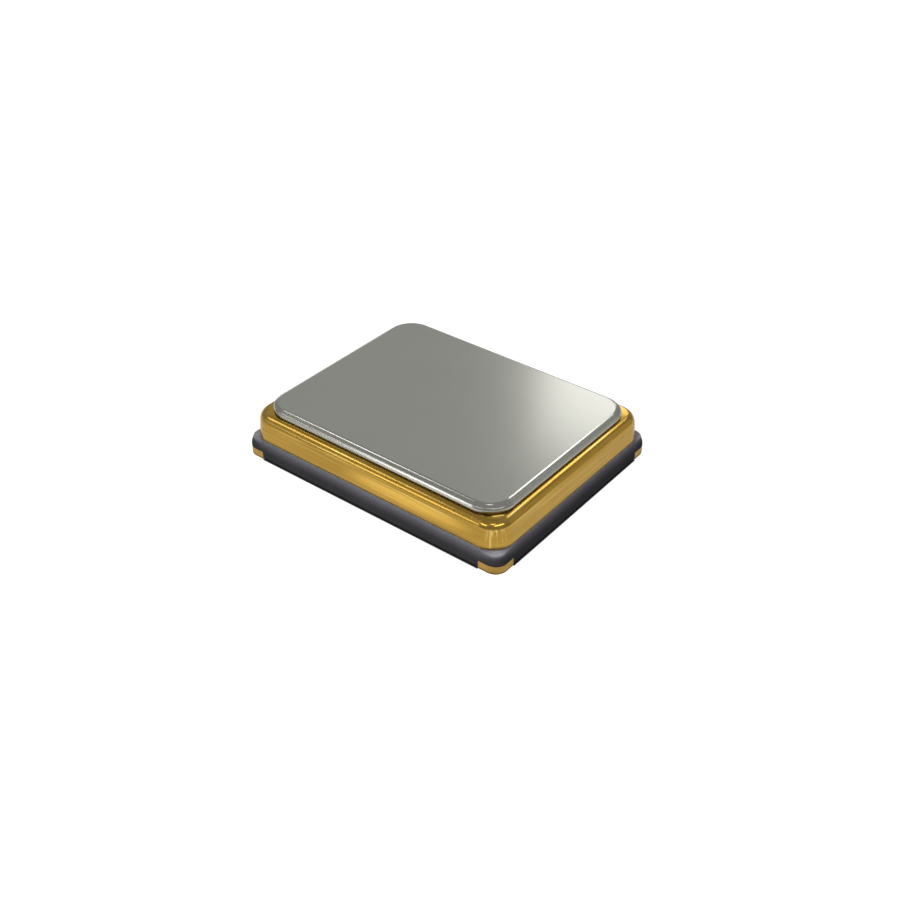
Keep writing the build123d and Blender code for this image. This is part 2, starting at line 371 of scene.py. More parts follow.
@dataclass(frozen=True)
class PlatedGold(Finish):
    """Gold plate over a drawn ring: level drawing lines in relief, with painted reflection streaks,
    bright and dull, along them, and upright painted highlight streaks where it turns a corner.

    The painted streaks grow stronger with the level. At the corners the weld leaves the top duller,
    and a painted shade makes it browner there.
    """

    line_size: float = 0.018 * MM
    line_detail: float = 2.0
    line_height: float = 0.035 * UM
    # Painted reflection streaks along the drawing lines: their strength, which grows over these
    # levels, and the noise's ranges for bright and for dull ones.
    streak_strength: Pair = (0.15, 0.42)
    streaks_grow: Pair = (0.250 * MM, 0.310 * MM)
    painted_bright_streaks: Pair = (0.54, 0.66)
    painted_dull_streaks: Pair = (0.34, 0.46)
    # Painted highlight streaks, upright, at the corners and below a level.
    glint_size: float = 0.030 * MM
    glint_detail: float = 1.0
    glint_range: Pair = (0.53, 0.62)
    glints_below: float = 0.335 * MM
    # The tint of painted highlights, on bright streaks and upright corner streaks, and the tint of
    # painted shade.
    painted_glint: Triple = (1.00, 0.72, 0.24)
    shade: Triple = (0.36, 0.20, 0.03)
    # Above this level at the corners the top is duller, and a painted shade browns it.
    heat_and_shade_above: float = 0.374 * MM
    painted_shade_strength: float = 0.80
    heat_roughness: float = 0.30
    corner: Pair = (1.09 * MM, 0.84 * MM)
    corner_soft: float = 0.05 * MM

    def surface(self, graph: Graph) -> dict[str, Wire]:
        """What varies over the surface, by the shader's socket.

        Args:
            graph: The material's graph.

        Returns:
            Wires for the base colour, roughness and normal.
        """
        tone, rough, _, grain = self.base(graph)
        level, corner = graph.axis("Z"), graph.at_corner(self.corner, self.corner_soft)
        # The drawing lines' noise gives the relief, and painted reflection streaks in the colour:
        # bright ones towards the painted glint tint and dull ones towards the shade.
        lines = self.noise(graph, self.line_size, self.line_detail, Grain.LEVEL)
        strength = graph.remap(level, self.streaks_grow, self.streak_strength)
        tone = graph.mix(graph.remap(lines, self.painted_bright_streaks) * strength, tone, self.painted_glint)
        dull = graph.remap(lines, self.painted_dull_streaks, (1.0, 0.0)) * strength
        tone = graph.mix(dull, tone, self.shade)
        # Painted shade at the top's corners, with duller roughness there.
        heat_and_shade = (level > self.heat_and_shade_above) * corner
        tone = graph.mix(self.painted_shade_strength * heat_and_shade, tone, self.shade)
        # Painted highlight streaks, upright at the corners.
        upright = self.noise(graph, self.glint_size, self.glint_detail, Grain.UPRIGHT)
        corner_glints = graph.remap(upright, self.glint_range) * (level < self.glints_below) * corner
        relief = lines + (self.grain_height / self.line_height) * grain
        return {
            "Base Color": graph.mix(corner_glints, tone, self.painted_glint),
            "Roughness": rough + self.heat_roughness * heat_and_shade,
            "Normal": self.bump(graph, relief, self.line_height),
        }


CERAMIC = FiredCeramic(
    name="fired_ceramic",
    colour=(0.040, 0.039, 0.042),
    deep=(0.026, 0.026, 0.029),
    roughness=(0.40, 0.52),
    grain_size=0.010 * MM,
    grain_height=0.30 * UM,
)
GOLD_PLATE = PlatedGold(
    name="plated_gold",
    colour=(0.635, 0.388, 0.070),
    deep=(0.56, 0.342, 0.060),
    roughness=(0.15, 0.21),
    cloud_size=0.25 * MM,
    grain_height=0.02 * UM,
)
TERMINAL_GOLD = Finish(
    name="terminal_gold",
    colour=(0.72, 0.46, 0.115),
    deep=(0.40, 0.25, 0.055),
    roughness=(0.28, 0.40),
    cloud_size=0.15 * MM,
    grain_size=0.014 * MM,
    grain_height=0.25 * UM,
)
BRAZE = Finish(
    name="braze_fillet",
    colour=(0.46, 0.34, 0.13),
    deep=(0.36, 0.26, 0.10),
    roughness=(0.35, 0.50),
    cloud_size=0.08 * MM,
    grain_size=0.010 * MM,
    grain_height=0.30 * UM,
)
RIM_METAL = replace(
    BRAZE,
    name="rim_metal",
    colour=(0.50, 0.44, 0.36),
    deep=(0.42, 0.36, 0.30),
    roughness=(0.40, 0.55),
)
# Satin nickel plate, with an even bead and the faintest slow change of tone.
LID_SHEET = Finish(
    name="nickel_sheet",
    colour=(0.565, 0.565, 0.515),
    deep=(0.535, 0.535, 0.485),
    roughness=(0.165, 0.185),
    cloud_size=0.45 * MM,
    cloud_range=(0.25, 0.75),
    cloud_detail=2.0,
    grain_size=0.018 * MM,
    grain_range=(0.28, 0.72),
    grain_height=0.07 * UM,
    tone_clouds=0.40,
    rough_clouds=0.40,
)
# Clear quartz with fine-lapped faces.
QUARTZ = Finish(
    name="lapped_quartz",
    colour=(0.93, 0.95, 0.96),
    deep=(0.86, 0.90, 0.92),
    roughness=(0.10, 0.22),
    grain_height=0.15 * UM,
    fixed=(("Metallic", 0.0), ("IOR", 1.544), ("Transmission Weight", 0.85)),
)
SILVER_FILM = Finish(
    name="silver_film",
    colour=(0.84, 0.83, 0.80),
    deep=(0.72, 0.71, 0.68),
    roughness=(0.12, 0.22),
    grain_height=0.06 * UM,
)
SILVER_ADHESIVE = Finish(
    name="silver_adhesive",
    colour=(0.60, 0.60, 0.58),
    deep=(0.38, 0.38, 0.37),
    roughness=(0.45, 0.65),
    cloud_size=0.05 * MM,
    grain_size=0.008 * MM,
    grain_height=0.8 * UM,
    fixed=(("Metallic", 0.35),),
)
VIA_FILL = Finish(
    name="via_fill",
    colour=(0.26, 0.25, 0.24),
    deep=(0.16, 0.15, 0.15),
    roughness=(0.40, 0.60),
    cloud_size=0.04 * MM,
    grain_size=0.008 * MM,
    grain_height=0.4 * UM,
)


# Sections and the tree that sweeps them


# A guard point lies this far from a round, so that the round doesn't shade the flat beside it.
GUARD = 0.0015 * MM
# A frame's side starts and ends this many of its rounds' radii in from its edge.
INWARD = 4
MERGE_DISTANCE = 0.00004 * MM
# Edges where the faces turn by more degrees than this stay sharp.
SHARP_ANGLE = 32.0


class Row(NamedTuple):
    """One loop round the package: its inset, corner radius and level, and its recess at corners."""

    inset: float
    radius: float
    level: float
    recess: float = 0.0


class Corner(NamedTuple):
    """A corner of a section, with the radius that rounds it."""

    inset: float
    level: float
    radius: float = 0.0


def rounded(corners: Sequence[Corner], steps: int, inset: float, radius: float) -> list[Row]:
    """Rounds the inner corners of an open section, whose corners in plan stay concentric.

    Args:
        corners: The section's corners, from end to end.
        steps: How many steps each round has.
        inset: An inset at which the corner radius in plan is known.
        radius: The corner radius there.

    Returns:
        The rows, with a guard point on each side of a round.
    """
    points = [(corners[0].inset, corners[0].level)]
    for before, here, after in zip(corners, corners[1:], corners[2:]):
        spot = Vector((here.inset, here.level))
        if not here.radius:
            points.append(tuple(spot))
            continue
        back = (Vector((before.inset, before.level)) - spot).normalized()
        on = (Vector((after.inset, after.level)) - spot).normalized()
        half = back.angle(on) / 2
        reach = here.radius / math.tan(half)
        centre = spot + (back + on).normalized() * (here.radius / math.sin(half))
        start = spot + back * reach - centre
        turn = math.copysign(math.pi - 2 * half, start.x * on.y - start.y * on.x)
        points.append(tuple(spot + back * (reach + GUARD)))
        for step in range(steps + 1):
            angle = turn * step / steps
            cos, sin = math.cos(angle), math.sin(angle)
            across = start.x * cos - start.y * sin
            points.append((centre.x + across, centre.y + start.x * sin + start.y * cos))
        points.append(tuple(spot + on * (reach + GUARD)))
    points.append((corners[-1].inset, corners[-1].level))
    return [Row(x, max(radius - (x - inset), 0.0), z) for x, z in points]


class SweepTree:
    """The node tree that carries a section round the package's outline.

    The modified object's own vertices are the section: X is the inset, Y the corner radius and Z
    the level. A vertex's "recess" is how far the surface steps in near each package corner.
    """

    NAME = "sweep_round_outline"
    CORNER_STEPS = 24
    INPUTS = {
        "NodeSocketFloat": ("Half Length", "Half Width", "Guard", "Recess Reach", "Merge Distance"),
        "NodeSocketInt": ("Corner Steps",),
        "NodeSocketMaterial": ("Material",),
    }
    # Each corner has its arc's stations and, on the straight on either side, three more: one
    # beside the arc and two at the recess's end, between which the surface steps in.
    BESIDE = 3.0

    def __init__(self, half: Pair) -> None:
        """Builds the tree.

        Args:
            half: Half the package's length and width.
        """
        self.half = half
        self.tree = bpy.data.node_groups.new(self.NAME, "GeometryNodeTree")
        self.graph = Graph(self.tree)
        self.identifiers: dict[str, str] = {}
        face = self.tree.interface
        face.new_socket("Geometry", in_out="INPUT", socket_type="NodeSocketGeometry")
        for kind, names in self.INPUTS.items():
            for name in names:
                socket = face.new_socket(name, in_out="INPUT", socket_type=kind)
                self.identifiers[name] = socket.identifier
        face.new_socket("Geometry", in_out="OUTPUT", socket_type="NodeSocketGeometry")
        self._build()

    def _build(self) -> None:
        """Adds the tree's nodes: a grid, its places, then the closing steps."""
        graph = self.graph
        source = graph.add("NodeGroupInput")
        inputs = {socket.name: Wire(graph, socket) for socket in source.outputs if socket.name}
        section = {"Geometry": inputs["Geometry"]}
        rows = graph.wire("GeometryNodeAttributeDomainSize", section, "Point Count")
        stations = inputs["Corner Steps"] + (2 * self.BESIDE + 1.0)
        size = {"Vertices X": 4.0 * stations + 1.0, "Vertices Y": rows}
        grid = graph.wire("GeometryNodeMeshGrid", size)
        place = self._place(inputs, rows, stations)
        moved = graph.wire("GeometryNodeSetPosition", {"Geometry": grid, "Position": place})
        distance = inputs["Merge Distance"]
        merged = graph.wire(
            "GeometryNodeMergeByDistance", {"Geometry": moved, "Distance": distance}
        )
        real = graph.wire("GeometryNodeRealizeInstances", {"Geometry": merged})
        material = inputs["Material"]
        dressed = graph.wire("GeometryNodeSetMaterial", {"Geometry": real, "Material": material})
        graph.add("NodeGroupOutput", {0: dressed})

    def _row(self, section: Wire, row: Wire) -> list[Wire]:
        """What the section says at a row.

        Args:
            section: The section's geometry.
            row: The row's number.

        Returns:
            The inset, corner radius, level and recess.
        """
        graph = self.graph
        spot = graph.wire("GeometryNodeInputPosition")
        recess = graph.wire("GeometryNodeInputNamedAttribute", {"Name": "recess"})
        read = []
        for value, kind in ((spot, "FLOAT_VECTOR"), (recess, "FLOAT")):
            sockets = {"Geometry": section, "Value": value, "Index": row}
            read.append(graph.wire("GeometryNodeSampleIndex", sockets, data_type=kind))
        parts = graph.add("ShaderNodeSeparateXYZ", {0: read[0]})
        return [*(Wire(graph, socket) for socket in parts.outputs), read[1]]

    def _place(self, inputs: dict[str, Wire], rows: Wire, stations: Wire) -> Wire:
        """The place of each vertex of the swept grid.

        Args:
            inputs: The tree's inputs by name.
            rows: How many rows the section has.
            stations: How many stations each corner has.

        Returns:
            The places as a vector.
        """
        graph, steps, guard = self.graph, inputs["Corner Steps"], inputs["Guard"]
        index = graph.wire("GeometryNodeInputIndex")
        station = (index / rows).maths("FLOOR")
        row = index - station * rows
        # The quarter keeps a rounding error from reading the row before.
        inset, radius, level, recess = self._row(inputs["Geometry"], row + 0.25)

        corner = ((station + 0.5) / stations).maths("FLOOR")
        local = station - corner * stations
        step = (local - self.BESIDE).maths("MAXIMUM", 0.0).maths("MINIMUM", steps)
        angle = (corner + step / steps) * (math.pi / 2)
        middle = (corner + 0.5) * (math.pi / 2)
        side_x, side_y = (middle.maths(turn).maths("SIGN") for turn in ("COSINE", "SINE"))

        to_last = stations - 1.0 - local
        nearer = local.maths("MINIMUM", to_last)
        beside = (to_last < self.BESIDE - 0.5) - (local < self.BESIDE - 0.5)
        at_end = nearer < 1.5
        inside = nearer > 0.5
        reach = (inputs["Recess Reach"] - inset - radius).maths("MAXIMUM", guard * 2.0)
        shift = beside * (guard + at_end * (reach - guard))

        cos, sin = angle.maths("COSINE"), angle.maths("SINE")
        turned = (radius - recess * inside).maths("MAXIMUM", 0.0)
        x = side_x * (inputs["Half Length"] - inset - radius) + turned * cos - shift * sin
        y = side_y * (inputs["Half Width"] - inset - radius) + turned * sin + shift * cos
        return graph.wire("ShaderNodeCombineXYZ", {0: x, 1: y, 2: level})

    def sweep(
        self, name: str, rows: Sequence[Row], finish: Finish,
        capped: bool = False, reach: float = 0.0,
    ) -> bpy.types.Object:
        """Sweeps a section round the outline.

        Args:
            name: The new piece's name.
            rows: The section, with its outer side on the right of its direction.
            finish: The piece's finish.
            capped: Whether flat faces close the first and last rows.
            reach: How far the recess runs from each package corner.

        Returns:
            The piece, as a plain mesh.
        """
        mesh = bpy.data.meshes.new(name + "_section")
        mesh.from_pydata([row[:3] for row in rows], [], [])
        recess = mesh.attributes.new("recess", "FLOAT", "POINT")
        recess.data.foreach_set("value", [row.recess for row in rows])
        source = put(name + "_section", mesh)
        modifier = source.modifiers.new("sweep", "NODES")
        modifier.node_group = self.tree
        values = {
            "Half Length": self.half[0],
            "Half Width": self.half[1],
            "Corner Steps": self.CORNER_STEPS,
            "Guard": GUARD,
            "Recess Reach": reach,
            "Merge Distance": MERGE_DISTANCE,
            "Material": finish.material(),
        }
        for key, value in values.items():
            modifier[self.identifiers[key]] = value
        return plain_piece(name, source, capped)


# Pieces and what they stand for


def put(name: str, data: bpy.types.ID) -> bpy.types.Object:
    """Puts a new object in the scene.

    Args:
        name: The object's name.
        data: Its mesh, lamp or camera.

    Returns:
        The object.
    """
    item = bpy.data.objects.new(name, data)
    bpy.context.scene.collection.objects.link(item)
    return item


def plain_piece(name: str, source: bpy.types.Object, capped: bool = False) -> bpy.types.Object:
    """Turns a modified object into a plain mesh and deletes the source.

    Args:
        name: The new piece's name.
        source: The object whose evaluated form is wanted.
        capped: Whether flat faces close its open loops.

    Returns:
        The piece, at the origin, smooth except at its sharp edges.
    """
    graph = bpy.context.evaluated_depsgraph_get()
    mesh = bpy.data.meshes.new_from_object(source.evaluated_get(graph), depsgraph=graph)
    mesh.name = name
    if capped:
        close_loops(mesh)
    bpy.data.objects.remove(source, do_unlink=True)
    mesh.shade_smooth()
    mesh.set_sharp_from_angle(angle=math.radians(SHARP_ANGLE))
    return put(name, mesh)


def close_loops(mesh: bpy.types.Mesh) -> None:
    """Closes each open loop of a mesh with a flat face of its own vertices.

    Args:
        mesh: The mesh.
    """
    work = bmesh.new()
    work.from_mesh(mesh)
    bmesh.ops.holes_fill(work, edges=[edge for edge in work.edges if edge.is_boundary], sides=0)
    bmesh.ops.recalc_face_normals(work, faces=work.faces)
    work.to_mesh(mesh)
    work.free()


def stand_for(piece: bpy.types.Object, slot: str, *nodes: str) -> None:
    """Lets a piece stand for CAD nodes on the only body.

    Args:
        piece: The piece.
        slot: The name of a material slot; it is not used.
        nodes: The nodes that it replaces.
    """
    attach(piece, "root")
    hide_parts(*nodes)
    LOG.info("%s: %d faces for %s", piece.name, len(piece.data.polygons), ", ".join(nodes))


def levels(node: str) -> Pair:
    """The lowest and highest level of a CAD node."""
    low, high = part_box(node)
    return low.z, high.z


@dataclass
class CeramicTray:
    """The fired tray: upright sides, a rounded shoulder, pockets at the corners and a cavity."""

    tree: SweepTree
    corner_radius: float = 0.100 * MM
    sag: float = 0.005 * MM
    bottom_round: float = 0.005 * MM
    shoulder_drop: float = 0.060 * MM
    shoulder_inset: float = 0.020 * MM
    shoulder_lower_round: float = 0.110 * MM
    shoulder_upper_round: float = 0.006 * MM
    floor_thickness: float = 0.080 * MM
    cavity_inset: float = 0.251 * MM
    cavity_radius: float = 0.060 * MM
    pocket_depth: float = 0.008 * MM
    pocket_reach: float = 0.180 * MM
    pocket_top: float = 0.070 * MM
    round_steps: int = 12

    def rows(self) -> list[Row]:
        """The tray's section, from the middle of its underside round to the cavity's floor.

        Returns:
            The rows.
        """
        low, top = levels("ceramic_base")
        bottom = low - self.sag
        wall = [
            Corner(self.corner_radius, bottom),
            Corner(0.0, bottom, self.bottom_round),
            Corner(0.0, top - self.shoulder_drop, self.shoulder_lower_round),
            Corner(self.shoulder_inset, top, self.shoulder_upper_round),
            Corner(self.cavity_inset - 2 * GUARD, top),
        ]
        outer = rounded(wall, self.round_steps, 0.0, self.corner_radius)
        floor = low + self.floor_thickness
        cavity = [Row(self.cavity_inset, self.cavity_radius, level) for level in (top, floor)]
        middle = Row(self.cavity_inset + self.cavity_radius, 0.0, floor)
        return [*self._pocketed(outer), *cavity, middle]

    def _pocketed(self, rows: list[Row]) -> list[Row]:
        """Gives the rows below the pockets' tops their recess, with a square step above.

        Args:
            rows: The outer rows, from the underside up.

        Returns:
            The rows with the step added.
        """
        under = self.pocket_top - GUARD
        low = [row for row in rows if row.level < under and row.inset < self.corner_radius]
        high = [row for row in rows if row.level >= under]
        deep = [row._replace(recess=max(self.pocket_depth - row.inset, 0.0)) for row in low]
        ledge = Row(0.0, self.corner_radius, self.pocket_top)
        return [rows[0], *deep, ledge._replace(recess=self.pocket_depth), ledge, *high]

    def build(self) -> None:
        """Makes and dresses the tray."""
        piece = self.tree.sweep(
            "tray", self.rows(), CERAMIC, capped=True, reach=self.pocket_reach
        )
        stand_for(piece, "ceramic", "ceramic_base")


@dataclass
class SweptFrame:
    """A frame round the package, whose outlines in plan are each an inset and a corner radius."""

    tree: SweepTree
    name: str
    node: str
    slot: str
    finish: Finish
    outer: Pair
    inner: Pair
    edge_round: float = 0.0015 * MM
    round_steps: int = 4

    def side(self, low: float, high: float) -> list[Corner]:
        """The corners of the outer side.

        Args:
            low: The level of the foot.
            high: The level of the top.

        Returns:
            The corners, from the foot up.
        """
        inset = self.outer[0]
        inward = inset + INWARD * self.edge_round
        return [
            Corner(inward, low),
            Corner(inset, low, self.edge_round),
            Corner(inset, high, self.edge_round),
            Corner(inward, high),
        ]

    def build(self) -> None:
        """Makes and dresses the frame."""
        low, high = levels(self.node)
        rows = rounded(self.side(low, high), self.round_steps, *self.outer)
        window = [Row(*self.inner, level) for level in (high, low)]
        piece = self.tree.sweep(self.name, [*rows, *window, rows[0]], self.finish)
        stand_for(piece, self.slot, self.node)


@dataclass
class SealRing(SweptFrame):
    """The plated ring: sides drawn in as they rise, a full shoulder and a slightly dished seat."""

    name: str = "ring"
    node: str = "seal_ring"
    slot: str = "gold_plate"
    finish: Finish = GOLD_PLATE
    outer: Pair = (0.026 * MM, 0.190 * MM)
    inner: Pair = (0.231 * MM, 0.080 * MM)
    edge_round: float = 0.004 * MM
    round_steps: int = 16
    draft: float = 0.016 * MM
    shoulder_radius: float = 0.078 * MM
    dish: float = 0.009 * MM
    dish_inset: float = 0.140 * MM

    def side(self, low: float, high: float) -> list[Corner]:
        """The corners of the outer side and the seat.

        Args:
            low: The level of the foot.
            high: The level of the top.

        Returns:
            The corners, from the foot up.
        """
        inset = self.outer[0]
        return [
            *super().side(low, high)[:2],
            Corner(inset + self.draft, high - self.dish, self.shoulder_radius),
            Corner(inset + self.dish_inset, high),
        ]


class Facet(NamedTuple):
    """One flat of a bevel: its width, its fall in degrees, and the round at its outer end."""

    width: float
    slope: float
    radius: float


@dataclass
class SeamLid:
    """The flat plate that closes the ring, its upper edge pressed to a bevel by the seam weld."""

    tree: SweepTree
    inset: float = 0.105 * MM
    corner_radius: float = 0.220 * MM
    bevel: tuple[Facet, ...] = (
        Facet(0.011 * MM, 20.0, 0.004 * MM),
        Facet(0.005 * MM, 38.0, 0.004 * MM),
        Facet(0.025 * MM, 28.0, 0.010 * MM),
        Facet(0.0105 * MM, 55.0, 0.016 * MM),
    )
    lower_round: float = 0.008 * MM
    round_steps: int = 16

    def _bevel(self, high: float) -> list[Corner]:
        """The bevel's corners, from the side of the lid up to its flat top.

        Args:
            high: The level of the flat top.

        Returns:
            The corners.
        """
        corners = []
        inset, level = self.inset + sum(facet.width for facet in self.bevel), high
        radius = self.bevel[0].radius
        for facet in self.bevel:
            corners.append(Corner(inset, level, radius))
            inset -= facet.width
            level -= facet.width * math.tan(math.radians(facet.slope))
            radius = facet.radius
        return [Corner(inset, level, radius), *reversed(corners)]

    def build(self) -> None:
        """Makes and dresses the lid."""
        low, high = levels("lid")
        middle = self.inset + self.corner_radius
        side = [
            Corner(middle, low),
            Corner(self.inset, low, self.lower_round),
            *self._bevel(high),
            Corner(middle, high),
        ]
        rows = rounded(side, self.round_steps, self.inset, self.corner_radius)
        piece = self.tree.sweep("lid_plate", rows, LID_SHEET, capped=True)
        stand_for(piece, "lid_metal", "lid")


def polar(centre: Pair, radius: float, angle: float) -> Pair:
    """The point at an angle, in degrees, on a circle."""
    turn = math.radians(angle)
    return centre[0] + radius * math.cos(turn), centre[1] + radius * math.sin(turn)


@dataclass
class CornerTerminal:
    """An underside pad joined to the metal that wraps up its corner of the tray."""

    half: Pair
    number: int
    side_x: int
    side_y: int
    index_cut: float = 0.0
    thickness: float = 0.008 * MM
    length: float = 0.75 * MM
    width: float = 0.65 * MM
    edge_margin: float = 0.030 * MM
    pad_radius: float = 0.050 * MM
    reach: float = 0.180 * MM
    package_radius: float = 0.100 * MM
    edge_round: float = 0.003 * MM
    arc_steps: int = 12
    edge_steps: int = 3
    # Holds the offset of a sharp corner, which would run away from the outline.
    sharpest: float = 0.2

    def _arc(self, centre: Pair, radius: float, start: float) -> list[Pair]:
        """A quarter arc, counter-clockwise from a start in degrees."""
        angles = [start + 90 * step / self.arc_steps for step in range(self.arc_steps + 1)]
        return [polar(centre, radius, angle) for angle in angles]

    def pad(self) -> list[Pair]:
        """The pad's outline with the corner that it reaches, for the +X +Y corner.

        Returns:
            Points, counter-clockwise as seen from above.
        """
        length, width = self.half
        x1, y1 = length - self.edge_margin, width - self.edge_margin
        x0, y0 = x1 - self.length, y1 - self.width
        r, package_r = self.pad_radius, self.package_radius
        inner = self._arc((x0 + r, y0 + r), r, 180)
        if self.index_cut:
            inner = [(x0, y0 + self.index_cut), (x0 + self.index_cut, y0)]
        return [
            *inner,
            *self._arc((x1 - r, y0 + r), r, 270),
            (x1, width - self.reach),
            (length, width - self.reach),
            *self._arc((length - package_r, width - package_r), package_r, 0),
            (length - self.reach, width),
            (length - self.reach, y1),
            *self._arc((x0 + r, y1 - r), r, 90),
        ]

    def wrap(self) -> list[Pair]:
        """The corner metal's outline in plan, for the +X +Y corner.

        Returns:
            Points, counter-clockwise as seen from above.
        """
        length, width = self.half
        centre = (length - self.package_radius, width - self.package_radius)
        sides = []
        for inset in (0.0, self.thickness):
            arc = self._arc(centre, self.package_radius - inset, 0)
            ends = (length - inset, width - self.reach), (length - self.reach, width - inset)
            sides.append([ends[0], *arc, ends[1]])
        return sides[0] + sides[1][::-1]

    def _offset(self, points: list[Pair], distance: float) -> list[Pair]:
        """Moves an outline in by a small distance.

        Args:
            points: The outline, counter-clockwise.
            distance: How far it moves in.

        Returns:
            The moved outline.
        """
        moved = []
        for before, here, after in zip(points[-1:] + points, points, points[1:] + points[:1]):
            one = (Vector(here) - Vector(before)).normalized()
            two = (Vector(after) - Vector(here)).normalized()
            normal = Vector((-one.y, one.x)) + Vector((-two.y, two.x))
            normal /= max(normal.length_squared / 2, self.sharpest)
            moved.append(tuple(Vector(here) + normal * distance))
        return moved

    def _plate(self, points: list[Pair], low: float, high: float) -> bpy.types.Object:
        """A plate at the terminal's own corner, with small rounds at its outer edges.

        Args:
            points: The outline for the +X +Y corner, counter-clockwise.
            low: The lower level.
            high: The upper level.

        Returns:
            The plate.
        """
        r, count = self.edge_round, len(points)
        turns = [math.pi / 2 * step / self.edge_steps for step in range(self.edge_steps + 1)]
        shape = [(r * (1 - math.sin(a)), low + r * (1 - math.cos(a))) for a in turns]
        shape += [(inset, low + high - level) for inset, level in reversed(shape)]
        vertices = []
        for inset, level in shape:
            loop = self._offset(points, inset)
            vertices += [(x * self.side_x, y * self.side_y, level) for x, y in loop]
        last = len(vertices) - count
        faces = [tuple(reversed(range(count))), tuple(range(last, len(vertices)))]
        for base in range(0, last, count):
            for here, after in zip(range(count), [*range(1, count), 0]):
                lower = (base + here, base + after)
                faces.append((*lower, base + count + after, base + count + here))
        if self.side_x * self.side_y < 0:
            faces = [face[::-1] for face in faces]
        mesh = bpy.data.meshes.new("plate")
        mesh.from_pydata(vertices, [], faces)
        mesh.materials.append(TERMINAL_GOLD.material())
        return put("plate", mesh)

    def build(self) -> None:
        """Makes and dresses the terminal."""
        node = f"terminal_{self.number}"
        low, high = levels(node)
        pad = self._plate(self.pad(), low, low + self.thickness)
        wrap = self._plate(self.wrap(), low, high)
        union = pad.modifiers.new("union", "BOOLEAN")
        union.operation, union.solver, union.object = "UNION", "EXACT", wrap
        piece = plain_piece(f"corner_{node}", pad)
        bpy.data.objects.remove(wrap, do_unlink=True)
        stand_for(piece, "gold_plate", node)


@dataclass
class Interior:
    """The quartz blank and what carries it, which keep their CAD forms and get their finishes."""

    finishes: tuple[tuple[Finish, tuple[str, ...]], ...] = (
        (VIA_FILL, ("via_input", "via_output", "via_ground_2", "via_ground_4")),
        (TERMINAL_GOLD, ("input_pad", "output_pad")),
        (CERAMIC, ("blank_pillow",)),
        (SILVER_ADHESIVE, ("adhesive_input", "adhesive_output")),
        (QUARTZ, ("crystal_blank",)),
        (SILVER_FILM, ("upper_electrode", "lower_electrode")),
    )

    def dress(self) -> None:
        """Gives each node its finish."""
        for finish, nodes in self.finishes:
            for node in nodes:
                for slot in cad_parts[node].material_slots:
                    slot.material = finish.material()
                LOG.info("%s: %s", node, finish.name)


# Studio


def direction(azimuth: float, elevation: float) -> Vector:
    """The unit vector to a viewer, by degrees from the long front side to the right, and up."""
    a, e = math.radians(azimuth), math.radians(elevation)
    return Vector((math.sin(a) * math.cos(e), -math.cos(a) * math.cos(e), math.sin(e)))


@dataclass
class SoftBox:
    """A rectangular lamp that faces the object, whose sides are angles seen from there."""

    name: str
    azimuth: float
    elevation: float
    width: float
    height: float
    radiance: float
    mirrored: bool = True
    distance: float = 60 * MM

    def build(self) -> None:
        """Makes the lamp."""
        light = bpy.data.lights.new(self.name, "AREA")
        light.shape = "RECTANGLE"
        halves = [math.radians(angle) / 2 for angle in (self.width, self.height)]
        light.size, light.size_y = (2 * self.distance * math.tan(half) for half in halves)
        light.energy = self.radiance * light.size * light.size_y * math.pi
        lamp = put(self.name, light)
        away = direction(self.azimuth, self.elevation)
        lamp.location = away * self.distance
        lamp.rotation_mode = "QUATERNION"
        lamp.rotation_quaternion = away.to_track_quat("Z", "Y")
        lamp.visible_camera = False
        lamp.visible_glossy = self.mirrored
        LOG.info("lamp %s", self.name)


